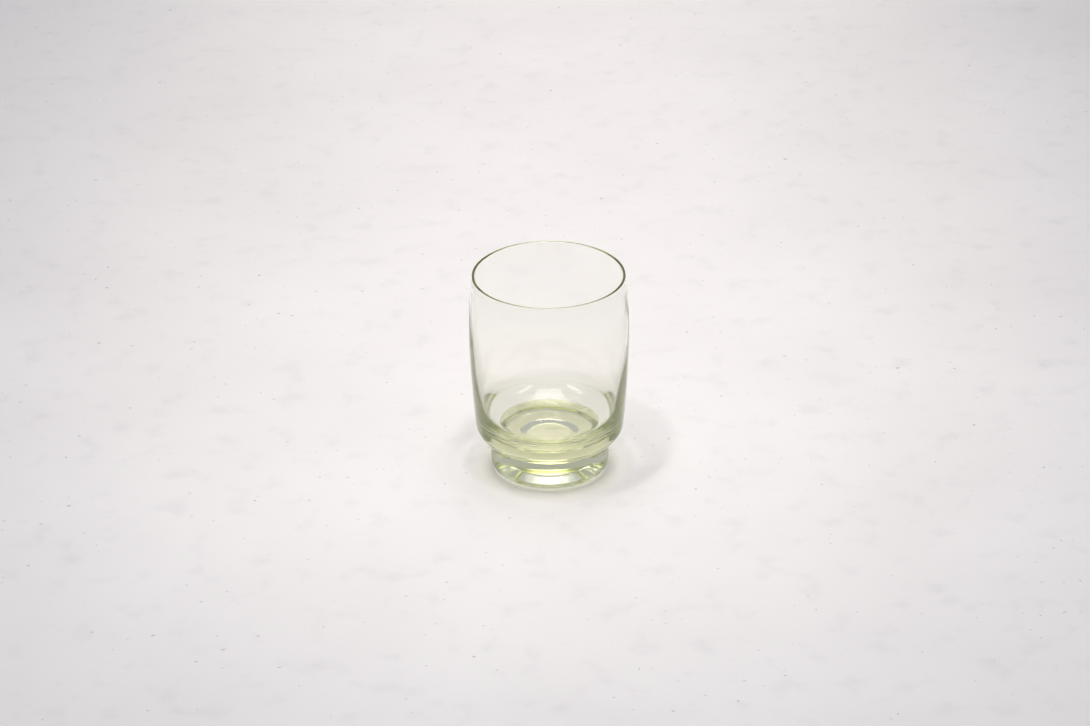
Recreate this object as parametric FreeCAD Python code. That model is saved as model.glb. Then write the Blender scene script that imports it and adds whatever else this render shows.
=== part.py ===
"""A thin-walled, barrel-shaped stacking shot glass standing on a thick, narrower foot.

Two pieces of glass meet at the crease below the shoulder: `bowl` above it and `foot` below it.
Millimetres, +Z up. The origin is the centre of the ring the glass rests on, so z = 0 is the table.
Every outline is drawn in the XZ plane as (radius, height) and turned once about Z.
"""

import math
import os

import FreeCAD
import Part

# Overall size
HEIGHT = 60.0
BELLY_R = 22.4  # widest outside radius
BELLY_Z = 41.5  # height of the widest point
RIM_R = 21.3  # outside radius just under the lip
RIM_WALL = 0.75
LIP_ROUND = 0.36  # the lip is melted almost to a half circle

# Foot
FOOT_R = 16.75
CREASE_R = 16.5  # where the foot's side runs into the underside of the shoulder
CREASE_Z = 8.9
REST_R = 14.8  # outer edge of the ring the glass rests on
REST_EDGE_ROUND = 1.8
KICK_MOUTH_R = 10.4  # the kick is the hollow pushed up into the foot from below
KICK_TOP_R = 7.2
KICK_H = 1.7
KICK_ROUND = 2.4

# Shoulder, the rounded step from the foot out to the barrel
SHOULDER_R = 21.3
SHOULDER_Z = 18.4

# Well, the hollow that holds the drink
WELL_BOTTOM_Z = 22.5  # height where the wall turns into the bottom
WELL_WALL = 1.6  # thickness of the wall at that height
WALL_GROWTH = 3.0  # how late, going down, the wall thickens: a higher power is later
WELL_POWER = 2.8  # 2 would make the bottom an ellipse, more makes its corner squarer
WELL_FLOOR_Z = 10.9  # lowest level the rounded bottom heads for
WELL_DOME_H = 1.0  # how far the kick has pushed the middle of the floor up
WELL_DOME_R = 12.0


def point(r, z):
    """A point of an outline, at radius r and height z."""
    return FreeCAD.Vector(r, 0, z)


def rounded(corners):
    """Edges joining corners (r, z, rounding radius); the first and last corner stay sharp."""
    ends = []
    for before, corner, after in zip(corners, corners[1:], corners[2:]):
        tip = point(corner[0], corner[1])
        if corner[2] == 0:
            ends.append((tip, None, tip))
            continue
        back = (point(before[0], before[1]) - tip).normalize()
        on = (point(after[0], after[1]) - tip).normalize()
        half_angle = back.getAngle(on) / 2
        reach = corner[2] / math.tan(half_angle)
        inward = (back + on).normalize()
        crown = tip + inward * (corner[2] / math.sin(half_angle) - corner[2])
        ends.append((tip + back * reach, crown, tip + on * reach))
    edges = []
    here = point(corners[0][0], corners[0][1])
    for start, crown, stop in ends:
        if (start - here).Length > 1e-6:
            edges.append(Part.makeLine(here, start))
        if crown is not None:
            edges.append(Part.Arc(start, crown, stop).toShape())
        here = stop
    last = point(corners[-1][0], corners[-1][1])
    edges.append(Part.makeLine(here, last))
    return edges


def flowing(points, leave, arrive):
    """One smooth edge through (r, z) points, with its directions at both ends."""
    curve = Part.BSplineCurve()
    curve.interpolate(
        [point(r, z) for r, z in points],
        InitialTangent=point(*leave),
        FinalTangent=point(*arrive),
    )
    return curve.toShape()


def turned(edges):
    """The solid made by turning a closed outline once about Z."""
    face = Part.Face(Part.Wire(Part.__sortEdges__(edges)))
    return face.revolve(FreeCAD.Vector(0, 0, 0), FreeCAD.Vector(0, 0, 1), 360)


def barrel_r(z):
    """Outside radius of the bowl at height z: fullest at the belly, drawn in to both ends."""
    if z < BELLY_Z:
        t = (BELLY_Z - z) / (BELLY_Z - SHOULDER_Z)
        return BELLY_R - (BELLY_R - SHOULDER_R) * t**1.6
    t = (z - BELLY_Z) / (HEIGHT - LIP_ROUND - BELLY_Z)
    return BELLY_R - (BELLY_R - RIM_R) * t**2.2


def well_r(z):
    """Inside radius of the side wall at height z; the wall thickens towards the bottom."""
    top = HEIGHT - LIP_ROUND
    depth = (top - z) / (top - WELL_BOTTOM_Z)
    return barrel_r(z) - RIM_WALL - (WELL_WALL - RIM_WALL) * depth**WALL_GROWTH


def barrel_points():
    """Outside of the bowl from the top of the shoulder to the lip."""
    top = HEIGHT - LIP_ROUND
    heights = [SHOULDER_Z + (BELLY_Z - SHOULDER_Z) * step / 5 for step in range(5)]
    heights += [BELLY_Z + (top - BELLY_Z) * step / 4 for step in range(5)]
    return [(barrel_r(z), z) for z in heights]


def well_points():
    """Inside of the bowl from the lip down to the middle of the floor."""
    top = HEIGHT - LIP_ROUND
    heights = [top + (WELL_BOTTOM_Z - top) * step / 9 for step in range(9)]
    points = [(well_r(z), z) for z in heights]
    for step in range(19):
        angle = math.radians(90 * step / 18)
        z = WELL_BOTTOM_Z - (WELL_BOTTOM_Z - WELL_FLOOR_Z) * math.sin(angle) ** (2 / WELL_POWER)
        r = well_r(z) * max(math.cos(angle), 0.0) ** (2 / WELL_POWER)
        if step == 18:
            r = 0.0
        if r < WELL_DOME_R:
            z += WELL_DOME_H * (1 + math.cos(math.pi * r / WELL_DOME_R)) / 2
        points.append((r, z))
    return points


def make_foot():
    """Thick plug of glass with a resting ring, a rounded bottom edge and a kick underneath."""
    outline = rounded([
        (0, KICK_H, 0),
        (KICK_TOP_R, KICK_H, KICK_ROUND),
        (KICK_MOUTH_R, 0, KICK_ROUND),
        (REST_R, 0, 0.5),
        (FOOT_R - 0.15, 0.9, REST_EDGE_ROUND),
        (FOOT_R, 4.0, 6.0),
        (CREASE_R, CREASE_Z, 0),
        (0, CREASE_Z, 0),
    ])
    outline.append(Part.makeLine(point(0, CREASE_Z), point(0, KICK_H)))
    return turned(outline)


def make_bowl():
    """Bowl: flat seam on the foot, shoulder, barrel, lip and the well inside."""
    shoulder = rounded([
        (0, CREASE_Z, 0),
        (CREASE_R, CREASE_Z, 0),
        (CREASE_R + 2.1, CREASE_Z + 1.1, 2.0),
        (SHOULDER_R - 0.45, CREASE_Z + 3.7, 4.5),
        (SHOULDER_R, SHOULDER_Z, 0),
    ])
    barrel = flowing(barrel_points(), leave=(0.09, 1), arrive=(-0.12, 1))
    lip = rounded([
        (RIM_R, HEIGHT - LIP_ROUND, 0),
        (RIM_R, HEIGHT, LIP_ROUND * 0.99),
        (RIM_R - RIM_WALL, HEIGHT, LIP_ROUND * 0.99),
        (RIM_R - RIM_WALL, HEIGHT - LIP_ROUND, 0),
    ])
    well = flowing(well_points(), leave=(0.12, -1), arrive=(-1, 0))
    floor_z = WELL_FLOOR_Z + WELL_DOME_H
    axis = Part.makeLine(point(0, floor_z), point(0, CREASE_Z))
    return turned(shoulder + [barrel] + lip + [well, axis])


os.makedirs("parts", exist_ok=True)
for name, shape in {"bowl": make_bowl(), "foot": make_foot()}.items():
    shape.exportStep(f"parts/{name}.step")
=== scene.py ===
"""A pale yellow-green shot glass standing empty on a white table under soft studio light."""

import math

import bpy
from mathutils import Matrix, Vector


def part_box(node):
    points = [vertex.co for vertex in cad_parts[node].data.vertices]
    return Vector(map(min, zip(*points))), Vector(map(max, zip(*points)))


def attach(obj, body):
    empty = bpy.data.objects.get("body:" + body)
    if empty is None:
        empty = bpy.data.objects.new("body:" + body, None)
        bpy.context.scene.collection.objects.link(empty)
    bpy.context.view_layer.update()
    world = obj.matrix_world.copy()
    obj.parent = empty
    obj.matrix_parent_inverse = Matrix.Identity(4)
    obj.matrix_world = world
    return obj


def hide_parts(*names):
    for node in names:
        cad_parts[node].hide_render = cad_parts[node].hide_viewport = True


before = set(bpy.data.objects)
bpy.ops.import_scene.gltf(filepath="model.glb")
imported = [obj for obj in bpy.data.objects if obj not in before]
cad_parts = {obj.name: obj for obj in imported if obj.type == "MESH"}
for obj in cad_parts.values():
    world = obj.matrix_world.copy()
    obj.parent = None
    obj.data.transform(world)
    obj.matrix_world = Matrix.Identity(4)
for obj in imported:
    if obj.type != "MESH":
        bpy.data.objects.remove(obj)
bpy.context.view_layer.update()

MM = 0.001

# ---------------------------------------------------------------- sizes of the glass, millimetres
FOOT_BOX = [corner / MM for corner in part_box("foot")]
BOWL_BOX = [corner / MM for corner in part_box("bowl")]
HEIGHT = BOWL_BOX[1].z
CREASE_Z = FOOT_BOX[1].z
BELLY_R = (BOWL_BOX[1].x - BOWL_BOX[0].x) / 2
FOOT_R = (FOOT_BOX[1].x - FOOT_BOX[0].x) / 2

# outside of the bowl
BELLY_Z = 41.5
RIM_R = BELLY_R - 1.1
SHOULDER_R = BELLY_R - 1.1
SHOULDER_Z = 18.4
CREASE_R = FOOT_R - 0.25
DRAWN_IN_BELOW = 1.6  # powers of the curves from the belly down and up: higher is fuller
DRAWN_IN_ABOVE = 2.2
# its wall, from the lip down
LIP_WALL = 0.75
LIP_ROUND = 0.36
LIP_ARC = LIP_ROUND * 0.99  # the two arcs of the lip stay a hair apart
BASE_WALL = 1.6
WALL_GROWTH = 3.0
# its well: a squared-off ellipse of this power, pushed up in the middle
WELL_BOTTOM_Z = 22.5
WELL_FLOOR_Z = 10.9
WELL_POWER = 2.8
WELL_DOME_H = 1.0
WELL_DOME_R = 12.0
# the foot
REST_R = 14.8
REST_EDGE_ROUND = 1.8
KICK_MOUTH_R = 10.4
KICK_TOP_R = 7.2
KICK_H = 1.7
KICK_ROUND = 2.4

SEAM_GAP = 0.012  # keeps the two facing seam surfaces apart for the ray tracer
TABLE_GAP = 0.04  # air film between the resting ring and the table

# how far the glass is from true: size, lobes around, lean with height, phase
OUTSIDE_WAVER = ((0.010, 2, 0.11, 0.0), (0.006, 3, -0.23, 1.0), (0.004, 5, 0.37, 2.0))
WELL_WAVER = ((0.018, 3, 0.19, 0.6), (0.0126, 5, -0.31, 2.2), (0.009, 8, 0.13, 4.0))
WAVER_INWARDS = 0.020  # the sizes of the outside waver added up, so it never stands proud
STEADY_R = 10.0  # inside this radius the waver fades to nothing on the axis

SEGMENTS = 224
RUNS = 60  # straight runs in each long curve of the outline
ARC_STEP = math.radians(5)
LIP_ARC_STEP = math.radians(15)

# ---------------------------------------------------------------- looks of glass and table
GLASS_IOR = 1.52
GLASS_BASE = (0.990, 0.991, 0.980, 1)
GLASS_TINT = (0.82, 0.84, 0.56, 1)
GLASS_DENSITY = 40.0
SMEAR_SCALE = 90.0
SMEAR_HAZE = 0.03
DUST_SCALE = 190.0
DUST_SIZE = 0.05
DUST_HAZE = 0.45

WHITE = (1, 1, 1, 1)
TABLE_HALF = 3.0
TABLE_ROUGHNESS = 0.55
TABLE_GLOSS = 0.3
# mottle, smudges, specks: noise scale, detail, where the marks begin and end, their colour,
# the colour between them
TABLE_MARKS = (
    (14.0, 3.0, 0.3, 0.7, (0.838, 0.808, 0.788, 1), (0.884, 0.855, 0.834, 1)),
    (110.0, 3.0, 0.55, 0.82, (0.92, 0.92, 0.925, 1), WHITE),
    (480.0, 1.0, 0.735, 0.80, (0.70, 0.69, 0.71, 1), WHITE),
)

# ---------------------------------------------------------------- light and camera, metres
LAMP_AT = (-0.010, -0.025, 0.18)
LAMP_SIZE = (0.008, 0.008)
LAMP_POWER = 0.045
CEILING_AT = (0.005, 0.33, 0.46)
CEILING_SIZE = (0.22, 0.9)
CEILING_POWER = 0.565
CEILING_SPREAD = 80
CEILING_COLOUR = (1.0, 0.945, 0.865)
WINDOW_AT = (0.30, -0.10, 0.50)  # and its mirror image in X
WINDOW_SIZE = (0.30, 0.07)
WINDOW_POWER = 0.36
ROOM_BRIGHT = (0.94, 0.965, 1.08, 1)
ROOM_DIM = (0.15, 0.15, 0.15, 1)
ROOM_STRENGTH = 0.515
BOUNCES = 160  # light runs far inside the wall before it leaves at the lip

CAMERA_TILT = math.radians(28.19)
CAMERA_ROLL = math.radians(-0.44)
CAMERA_DISTANCE = 0.8422
CAMERA_LENS = 99.08
CAMERA_SHIFT = (-0.004, 0.0061)


# ---------------------------------------------------------------- outlines, (radius, height)
def rounded(corners, step=ARC_STEP):
    """Points along straight runs between (r, z, rounding radius) corners, with true arcs."""
    points = [Vector(corners[0][:2])]
    for before, corner, after in zip(corners, corners[1:], corners[2:]):
        tip, radius = Vector(corner[:2]), corner[2]
        if radius == 0:
            points.append(tip)
            continue
        back = (Vector(before[:2]) - tip).normalized()
        on = (Vector(after[:2]) - tip).normalized()
        half_angle = back.angle(on) / 2
        reach = radius / math.tan(half_angle)
        centre = tip + (back + on).normalized() * radius / math.sin(half_angle)
        first = tip + back * reach - centre
        turn = first.angle_signed(tip + on * reach - centre)
        count = max(3, math.ceil(abs(turn) / step))
        for i in range(count + 1):
            points.append(centre + Matrix.Rotation(-turn * i / count, 2) @ first)
    points.append(Vector(corners[-1][:2]))
    return points


def barrel_r(z):
    """Outside radius of the bowl at height z: fullest at the belly, drawn in to both ends."""
    if z < BELLY_Z:
        t = (BELLY_Z - z) / (BELLY_Z - SHOULDER_Z)
        return BELLY_R - (BELLY_R - SHOULDER_R) * t**DRAWN_IN_BELOW
    t = (z - BELLY_Z) / (HEIGHT - LIP_ROUND - BELLY_Z)
    return BELLY_R - (BELLY_R - RIM_R) * t**DRAWN_IN_ABOVE


def wall(z):
    """Thickness of the bowl's side at height z, growing gently downwards."""
    top = HEIGHT - LIP_ROUND
    depth = (top - z) / (top - WELL_BOTTOM_Z)
    return LIP_WALL + (BASE_WALL - LIP_WALL) * depth**WALL_GROWTH


def foot_outline():
    """Kick, resting ring and side of the foot, from the middle of the kick to the seam."""
    return rounded([
        (0, KICK_H, 0),
        (KICK_TOP_R, KICK_H, KICK_ROUND),
        (KICK_MOUTH_R, 0, KICK_ROUND),
        (REST_R, 0, 0.5),
        (FOOT_R - 0.15, 0.9, REST_EDGE_ROUND),
        (FOOT_R, 4.0, 6.0),
        (CREASE_R, CREASE_Z - SEAM_GAP / 2, 0),
    ])


def shoulder_outline():
    """Underside of the bowl, from the seam out and up to the barrel."""
    return rounded([
        (CREASE_R, CREASE_Z + SEAM_GAP / 2, 0),
        (CREASE_R + 2.1, CREASE_Z + 1.1, 2.0),
        (SHOULDER_R - 0.45, CREASE_Z + 3.7, 4.5),
        (SHOULDER_R, SHOULDER_Z, 0),
    ])


def barrel_outline():
    low, high = SHOULDER_Z, HEIGHT - LIP_ROUND
    heights = [low + (high - low) * i / RUNS for i in range(1, RUNS)]
    return [Vector((barrel_r(z), z)) for z in heights]


def lip_outline():
    """The melted rim: nearly a half circle from the outside over to the inside."""
    low = HEIGHT - LIP_ROUND
    return rounded([
        (RIM_R, low, 0),
        (RIM_R, HEIGHT, LIP_ARC),
        (RIM_R - LIP_WALL, HEIGHT, LIP_ARC),
        (RIM_R - LIP_WALL, low, 0),
    ], LIP_ARC_STEP)


def well_outline():
    """Inside of the bowl: down the wall, then a squared-off round bottom with a domed middle."""
    high = HEIGHT - LIP_ROUND
    heights = [high + (WELL_BOTTOM_Z - high) * i / RUNS for i in range(1, RUNS)]
    points = [Vector((barrel_r(z) - wall(z), z)) for z in heights]
    depth = WELL_BOTTOM_Z - WELL_FLOOR_Z
    for i in range(RUNS + 1):
        angle = math.pi / 2 * i / RUNS
        z = WELL_BOTTOM_Z - depth * math.sin(angle) ** (2 / WELL_POWER)
        r = (barrel_r(z) - wall(z)) * math.cos(angle) ** (2 / WELL_POWER)
        if r < WELL_DOME_R:
            z += WELL_DOME_H * (1 + math.cos(math.pi * r / WELL_DOME_R)) / 2
        points.append(Vector((max(r, 0.0), z)))
    points[-1].x = 0.0
    return points


# ---------------------------------------------------------------- turning an outline into glass
def waver(terms, angle, z):
    return sum(
        size * math.sin(lobes * angle + lean * z + phase) for size, lobes, lean, phase in terms
    )


def turned(name, outline, seam_run, well_from=None):
    """A closed mesh turned from an outline that starts and ends on the axis.

    seam_run is the number of the outline's run that is the seam. Its points from number
    well_from on are inside the well, which is a little less true than the outside."""
    verts, faces, seam, rings = [], [], [], []
    for number, point in enumerate(outline):
        if point.x < 1e-4:
            rings.append([len(verts)])
            verts.append(Vector((0, 0, point.y)) * MM)
            continue
        in_well = well_from is not None and number >= well_from
        rings.append(range(len(verts), len(verts) + SEGMENTS))
        for k in range(SEGMENTS):
            angle = 2 * math.pi * k / SEGMENTS
            if in_well:
                sway = waver(WELL_WAVER, angle, point.y)
            else:
                sway = waver(OUTSIDE_WAVER, angle, point.y) - WAVER_INWARDS
            r = point.x + sway * min(1.0, point.x / STEADY_R)
            verts.append(Vector((r * math.cos(angle), r * math.sin(angle), point.y)) * MM)
    for i, (low, high) in enumerate(zip(rings, rings[1:])):
        for k in range(SEGMENTS):
            k2 = (k + 1) % SEGMENTS
            if len(low) == 1:
                faces.append((low[0], high[k2], high[k]))
            elif len(high) == 1:
                faces.append((low[k], low[k2], high[0]))
            else:
                faces.append((low[k], low[k2], high[k2], high[k]))
            seam.append(i == seam_run)
    mesh = bpy.data.meshes.new(name)
    mesh.from_pydata(verts, [], faces)
    at_seam = mesh.attributes.new("seam", "FLOAT", "FACE")
    at_seam.data.foreach_set("value", [float(s) for s in seam])
    mesh.polygons.foreach_set("use_smooth", [not s for s in seam])
    mesh.update()
    piece = bpy.data.objects.new(name, mesh)
    bpy.context.scene.collection.objects.link(piece)
    return piece


def crisp_crease(piece, z):
    """Keep a sharp edge where the seam, at height z, meets the outside."""
    mesh = piece.data
    sharp = mesh.attributes.new("sharp_edge", "BOOLEAN", "EDGE")
    for edge in mesh.edges:
        ends = [mesh.vertices[i].co for i in edge.vertices]
        outside = min(end.xy.length for end in ends) > (CREASE_R - 0.3) * MM
        at_seam = max(abs(end.z - z * MM) for end in ends) < 1e-7
        sharp.data[edge.index].value = outside and at_seam


# ---------------------------------------------------------------- materials
def node(tree, kind, **inputs):
    """A new node, its inputs set by name with _ for a space."""
    made = tree.nodes.new(kind)
    for key, value in inputs.items():
        made.inputs[key.replace("_", " ")].default_value = value
    return made


def maths(tree, operation, *sockets):
    made = tree.nodes.new("ShaderNodeMath")
    made.operation = operation
    for socket, into in zip(sockets, made.inputs):
        tree.links.new(socket, into)
    return made.outputs[0]


def mixed(tree, first, second, share, blend="MIX"):
    """The socket of a colour mix. first and second are colours or sockets; share is either."""
    made = tree.nodes.new("ShaderNodeMix")
    made.data_type = "RGBA"
    made.blend_type = blend
    for into, value in ((0, share), (6, first), (7, second)):
        if isinstance(value, bpy.types.NodeSocket):
            tree.links.new(value, made.inputs[into])
        else:
            made.inputs[into].default_value = value
    return made.outputs[2]


def glass_material():
    """Clear glass that takes on a yellow-green cast with the length of glass looked through."""
    mat = bpy.data.materials.new("tinted_glass")
    mat.use_nodes = True
    tree = mat.node_tree
    tree.nodes.clear()
    link = tree.links.new
    out = tree.nodes.new("ShaderNodeOutputMaterial")
    glass = node(tree, "ShaderNodeBsdfPrincipled", Transmission_Weight=1.0, IOR=GLASS_IOR)
    link(glass.outputs[0], out.inputs["Surface"])
    place = tree.nodes.new("ShaderNodeTexCoord").outputs["Object"]
    # faint smears left by a cloth: slightly less polished streaks
    smear = node(tree, "ShaderNodeTexNoise", Scale=SMEAR_SCALE, Detail=4.0, Distortion=1.5)
    link(place, smear.inputs["Vector"])
    haze = node(tree, "ShaderNodeMapRange", From_Min=0.55, From_Max=0.8, To_Max=SMEAR_HAZE)
    link(smear.outputs["Fac"], haze.inputs["Value"])
    # sparse dust: pin-point spots that scatter the light
    dust = node(tree, "ShaderNodeTexVoronoi", Scale=DUST_SCALE)
    link(place, dust.inputs["Vector"])
    spot = node(tree, "ShaderNodeMapRange",
                From_Min=DUST_SIZE, From_Max=DUST_SIZE / 2, To_Max=DUST_HAZE)
    link(dust.outputs["Distance"], spot.inputs["Value"])
    rough = maths(tree, "MAXIMUM", haze.outputs["Result"], spot.outputs["Result"])
    # inside the glass the two pieces are one: nothing bends, tints or blurs at the seam
    seam = tree.nodes.new("ShaderNodeAttribute")
    seam.attribute_name = "seam"
    bend = node(tree, "ShaderNodeMapRange", To_Min=GLASS_IOR, To_Max=1.0)
    polish = node(tree, "ShaderNodeMapRange", To_Min=1.0, To_Max=0.0)
    for pick in (bend, polish):
        link(seam.outputs["Fac"], pick.inputs["Value"])
    link(bend.outputs["Result"], glass.inputs["IOR"])
    link(maths(tree, "MULTIPLY", polish.outputs["Result"], rough), glass.inputs["Roughness"])
    link(mixed(tree, GLASS_BASE, WHITE, seam.outputs["Fac"]), glass.inputs["Base Color"])
    tint = node(tree, "ShaderNodeVolumeAbsorption", Color=GLASS_TINT, Density=GLASS_DENSITY)
    link(tint.outputs[0], out.inputs["Volume"])
    return mat


def table_material():
    """White laminate: faint mottle, soft smudges, a few dust specks."""
    mat = bpy.data.materials.new("white_table")
    mat.use_nodes = True
    tree = mat.node_tree
    link = tree.links.new
    base = tree.nodes["Principled BSDF"]
    base.inputs["Roughness"].default_value = TABLE_ROUGHNESS
    base.inputs["Specular IOR Level"].default_value = TABLE_GLOSS
    place = tree.nodes.new("ShaderNodeTexCoord").outputs["Object"]
    shade = None
    for scale, detail, low, high, dark, pale in TABLE_MARKS:
        marks = node(tree, "ShaderNodeTexNoise", Scale=scale, Detail=detail)
        link(place, marks.inputs["Vector"])
        spread = node(tree, "ShaderNodeMapRange", From_Min=low, From_Max=high)
        link(marks.outputs["Fac"], spread.inputs["Value"])
        tone = mixed(tree, pale, dark, spread.outputs["Result"])
        shade = tone if shade is None else mixed(tree, shade, tone, 1.0, "MULTIPLY")
    link(shade, base.inputs["Base Color"])
    return mat


# ---------------------------------------------------------------- the glass
def make_bowl():
    z = CREASE_Z + SEAM_GAP / 2
    outside = [Vector((0, z))] + shoulder_outline() + barrel_outline() + lip_outline()
    well_from = len(outside) + 4  # the first runs under the lip follow the outside
    piece = turned("bowl_glass", outside + well_outline(), 0, well_from)
    crisp_crease(piece, z)
    return piece


def make_foot():
    z = CREASE_Z - SEAM_GAP / 2
    outline = foot_outline() + [Vector((0, z))]
    piece = turned("foot_glass", outline, len(outline) - 2)
    crisp_crease(piece, z)
    return piece


GLASS = glass_material()
for piece, cad_node in ((make_bowl(), "bowl"), (make_foot(), "foot")):
    piece.data.materials.append(GLASS)
    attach(piece, "root")
    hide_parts(cad_node)


# ---------------------------------------------------------------- table, light, camera
def make_table():
    half, z = TABLE_HALF, -TABLE_GAP * MM
    corners = [(-half, -half, z), (half, -half, z), (half, half, z), (-half, half, z)]
    mesh = bpy.data.meshes.new("table")
    mesh.from_pydata(corners, [], [(0, 1, 2, 3)])
    table = bpy.data.objects.new("table", mesh)
    bpy.context.scene.collection.objects.link(table)
    mesh.materials.append(table_material())


def make_softbox(name, place, size, power, target=(0, 0, 0.02), spread=180, colour=(1, 1, 1)):
    """A rectangular light at place, facing target."""
    light = bpy.data.lights.new(name, "AREA")
    light.shape = "RECTANGLE"
    light.size, light.size_y = size
    light.energy = power
    light.color = colour
    light.spread = math.radians(spread)
    lamp = bpy.data.objects.new(name, light)
    bpy.context.scene.collection.objects.link(lamp)
    lamp.location = place
    lamp.rotation_mode = "QUATERNION"
    lamp.rotation_quaternion = (Vector(place) - Vector(target)).to_track_quat("Z", "Y")


def make_lights():
    make_softbox("lamp", LAMP_AT, LAMP_SIZE, LAMP_POWER)
    below = (CEILING_AT[0], CEILING_AT[1], 0)
    make_softbox("ceiling", CEILING_AT, CEILING_SIZE, CEILING_POWER, below, CEILING_SPREAD,
                 CEILING_COLOUR)
    for side in (-1, 1):
        place = (side * WINDOW_AT[0], WINDOW_AT[1], WINDOW_AT[2])
        make_softbox("window", place, WINDOW_SIZE, WINDOW_POWER)


def make_world():
    """Pale room with dimmer walls left and right, so that the edges of the glass show."""
    world = bpy.data.worlds.new("room")
    bpy.context.scene.world = world
    world.use_nodes = True
    tree = world.node_tree
    link = tree.links.new
    place = tree.nodes.new("ShaderNodeTexCoord")
    split = tree.nodes.new("ShaderNodeSeparateXYZ")
    link(place.outputs["Generated"], split.inputs[0])
    walls = node(tree, "ShaderNodeMapRange", From_Min=0.55, From_Max=0.95)
    walls.interpolation_type = "SMOOTHSTEP"
    link(maths(tree, "ABSOLUTE", split.outputs["X"]), walls.inputs["Value"])
    ground = tree.nodes["Background"]
    ground.inputs["Strength"].default_value = ROOM_STRENGTH
    link(mixed(tree, ROOM_BRIGHT, ROOM_DIM, walls.outputs["Result"]), ground.inputs["Color"])


def make_camera():
    """About 0.84 m away and 28 degrees above the table, the glass a little right of centre."""
    back = Vector((0, -math.cos(CAMERA_TILT), math.sin(CAMERA_TILT)))
    level, rise = Vector((1, 0, 0)), Vector((0, math.sin(CAMERA_TILT), math.cos(CAMERA_TILT)))
    cos, sin = math.cos(CAMERA_ROLL), math.sin(CAMERA_ROLL)
    right, up = level * cos + rise * sin, rise * cos - level * sin
    data = bpy.data.cameras.new("camera")
    data.sensor_width = 36.0
    data.lens = CAMERA_LENS
    data.shift_x, data.shift_y = CAMERA_SHIFT
    data.clip_start, data.clip_end = 0.05, 50.0
    camera = bpy.data.objects.new("camera", data)
    bpy.context.scene.collection.objects.link(camera)
    camera.location = Vector((0, 0, HEIGHT * MM / 2)) + back * CAMERA_DISTANCE
    camera.rotation_mode = "QUATERNION"
    camera.rotation_quaternion = Matrix((right, up, back)).transposed().to_quaternion()
    bpy.context.scene.camera = camera


make_table()
make_world()
make_lights()
make_camera()

scene = bpy.context.scene
scene.view_settings.view_transform = "Standard"
scene.view_settings.exposure = 0.0
scene.cycles.max_bounces = BOUNCES
scene.cycles.transmission_bounces = BOUNCES
scene.cycles.glossy_bounces = BOUNCES
scene.cycles.transparent_max_bounces = BOUNCES
scene.cycles.caustics_refractive = True
scene.cycles.caustics_reflective = True
scene.cycles.blur_glossy = 0.0
